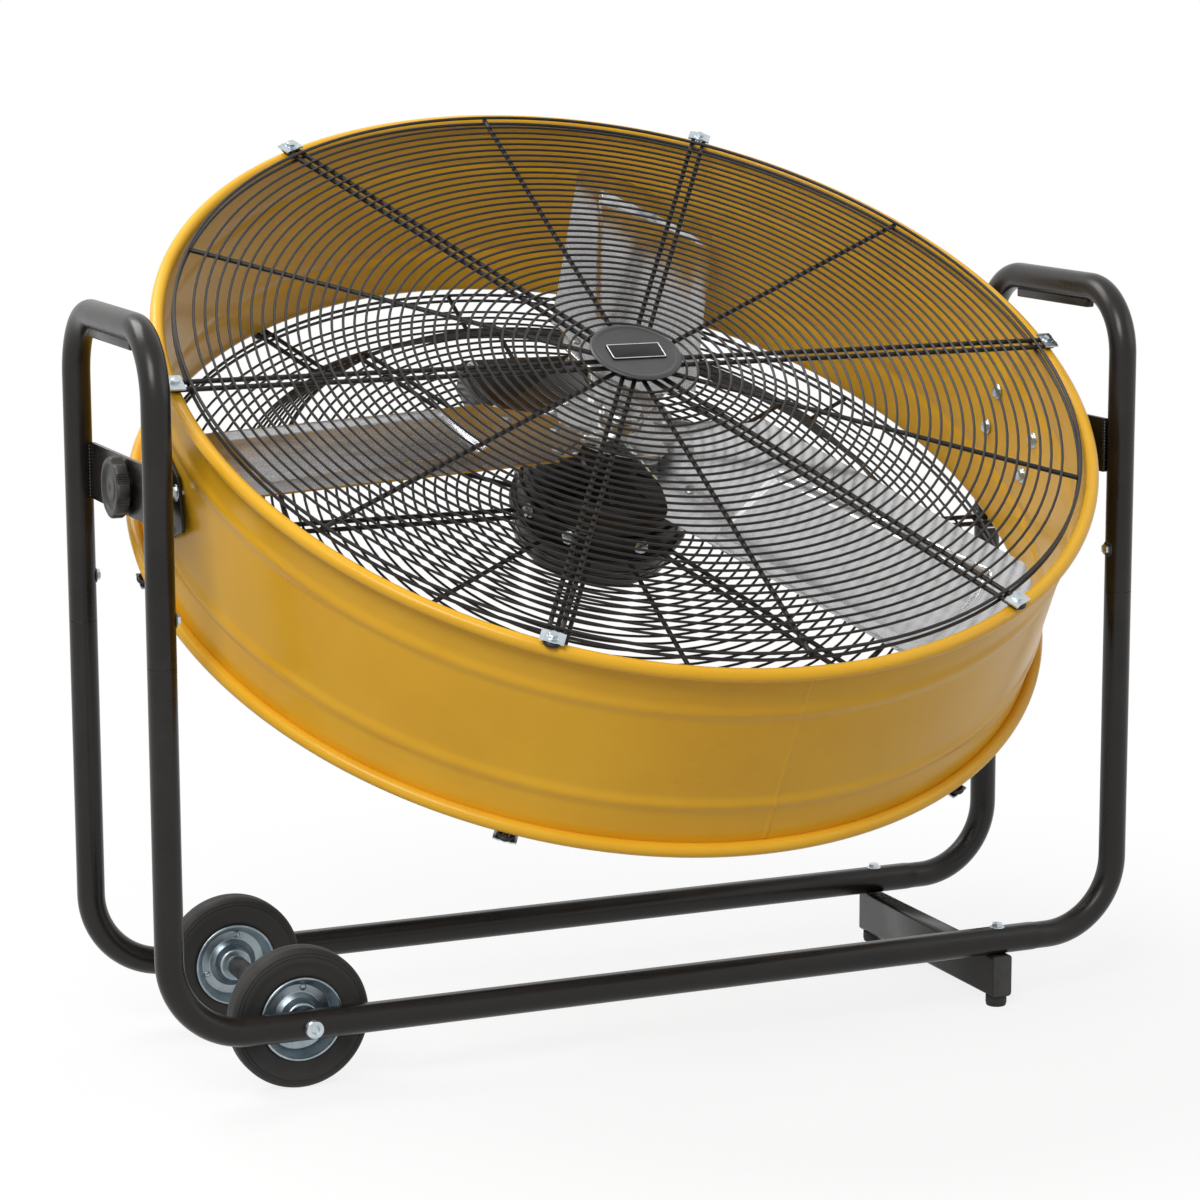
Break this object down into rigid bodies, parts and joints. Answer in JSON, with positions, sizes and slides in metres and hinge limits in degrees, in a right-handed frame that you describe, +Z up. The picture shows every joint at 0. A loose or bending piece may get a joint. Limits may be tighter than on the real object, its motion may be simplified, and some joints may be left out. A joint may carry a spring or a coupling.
{
  "type": "drum fan",
  "caption": "Floor-standing drum fan: tilting sheet-metal drum with wire guards and a blade fan, carried by a bent-tube stand with two wheels and a footed bar.",
  "frame": {"origin": "on the floor, at the centre of the whole fan's footprint, straight below the drum's pivot axis", "axes": "+X along the pivot axis from the wheel end to the foot end, +Y to the back, away from the side the drum's open face leans to, +Z up"},
  "size_m": [1.058, 0.9398, 0.9135],
  "materials": {
    "black_paint": "satin powder coat",
    "yellow_paint": "glossy enamel",
    "guard_paint": "satin paint over welded wire",
    "zinc_plate": "bright zinc plate",
    "bare_steel": "plain",
    "stator_windings": "laminations with lacquered copper windings",
    "blade_aluminium": "mill finish",
    "tyre_rubber": "matt",
    "foot_rubber": "matt",
    "black_plastic": "moulded",
    "grey_plastic": "moulded"
  },
  "bodies": {
    "stand": {"front_frame": "black_paint", "rear_frame": "black_paint", "front_left_joint": "bare_steel", "front_right_joint": "bare_steel", "rear_left_joint": "bare_steel", "rear_right_joint": "bare_steel", "left_handle": "black_paint", "right_handle": "black_paint", "left_side_plate": "black_paint", "right_side_plate": "black_paint", "foot_bar": "black_paint", "front_foot": "foot_rubber", "rear_foot": "foot_rubber", "front_foot_bolt": "zinc_plate", "rear_foot_bolt": "zinc_plate", "axle": "bare_steel", "axle_spacer": "black_plastic", "front_axle_cap": "zinc_plate", "rear_axle_cap": "zinc_plate"},
    "drum": {"drum_shell": "yellow_paint", "left_pivot_plate": "black_paint", "right_pivot_plate": "black_paint", "front_guard": "guard_paint", "rear_guard": "guard_paint", "front_clip_1": "zinc_plate", "front_clip_2": "zinc_plate", "front_clip_3": "zinc_plate", "front_clip_4": "zinc_plate", "front_clip_5": "zinc_plate", "front_clip_6": "zinc_plate", "hub_cap": "grey_plastic", "blank_badge": "black_plastic", "motor_barrel": "black_paint", "motor_rear_bell": "black_paint", "motor_front_bell": "black_paint", "stator": "stator_windings", "rear_bearing": "bare_steel", "front_bearing": "bare_steel", "motor_mount": "black_paint", "switch_box": "black_paint", "switch_box_lid": "black_paint", "cable_gland": "black_plastic", "capacitor": "grey_plastic"},
    "fan": {"motor_shaft": "bare_steel", "rotor": "bare_steel", "fan_hub": "bare_steel", "blade_1": "blade_aluminium", "blade_2": "blade_aluminium", "blade_3": "blade_aluminium"},
    "front_wheel": {"front_wheel_tyre": "tyre_rubber", "front_wheel_disc": "zinc_plate", "front_wheel_hub_disc": "zinc_plate"},
    "rear_wheel": {"rear_wheel_tyre": "tyre_rubber", "rear_wheel_disc": "zinc_plate", "rear_wheel_hub_disc": "zinc_plate"},
    "left_knob_body": {"left_knob": "black_plastic"},
    "right_knob_body": {"right_knob": "black_plastic"}
  },
  "joints": [
    {"name": "drum_tilt", "type": "hinge", "parent": "stand", "child": "drum", "pos_m": [0, 0, 0.582], "axis": [1, 0, 0], "range_deg": [-180, 180]},
    {"name": "fan_spin", "type": "hinge", "parent": "drum", "child": "fan", "pos_m": [0, 0, 0.582], "axis": [0, -0.4924, 0.8704], "continuous": true},
    {"name": "front_wheel_roll", "type": "hinge", "parent": "stand", "child": "front_wheel", "pos_m": [-0.378, -0.106, 0.07], "axis": [0, 1, 0], "continuous": true},
    {"name": "rear_wheel_roll", "type": "hinge", "parent": "stand", "child": "rear_wheel", "pos_m": [-0.378, 0.106, 0.07], "axis": [0, 1, 0], "continuous": true},
    {"name": "left_knob_turn", "type": "hinge", "parent": "stand", "child": "left_knob_body", "pos_m": [-0.515, 0, 0.582], "axis": [-1, 0, 0], "range_deg": [0, 720]},
    {"name": "right_knob_turn", "type": "hinge", "parent": "stand", "child": "right_knob_body", "pos_m": [0.515, 0, 0.582], "axis": [1, 0, 0], "range_deg": [0, 720]}
  ]
}
